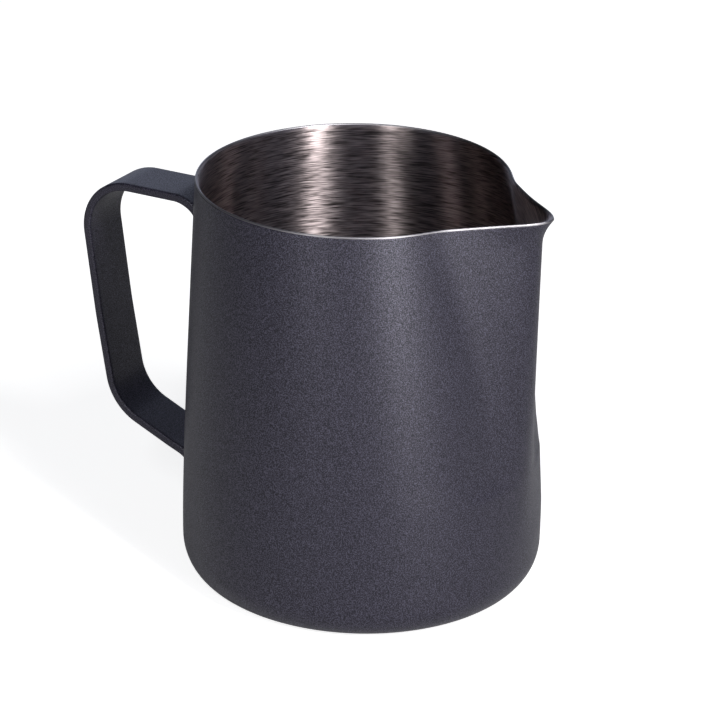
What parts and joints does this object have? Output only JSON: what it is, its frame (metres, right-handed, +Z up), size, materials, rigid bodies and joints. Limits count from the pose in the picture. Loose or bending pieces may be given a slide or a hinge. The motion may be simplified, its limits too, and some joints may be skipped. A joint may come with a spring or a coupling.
{
  "type": "milk frothing pitcher",
  "caption": "Tapered one-piece steel milk pitcher with a pressed pouring spout and a bent strap handle spot welded to the wall.",
  "frame": {"origin": "centre of the flat base, on the plane the pitcher stands on", "axes": "+Z up along the body's axis, +X towards the spout, -X towards the handle, +Y to the left seen from the handle"},
  "size_m": [0.13, 0.0932, 0.1045],
  "materials": {
    "coat": "satin",
    "steel": "brushed"
  },
  "bodies": {
    "root": {"pitcher_body": "coat", "handle_strap": "coat", "spot_weld_upper_left": "steel", "spot_weld_upper_right": "steel", "spot_weld_lower_left": "steel", "spot_weld_lower_right": "steel"}
  },
  "joints": []
}
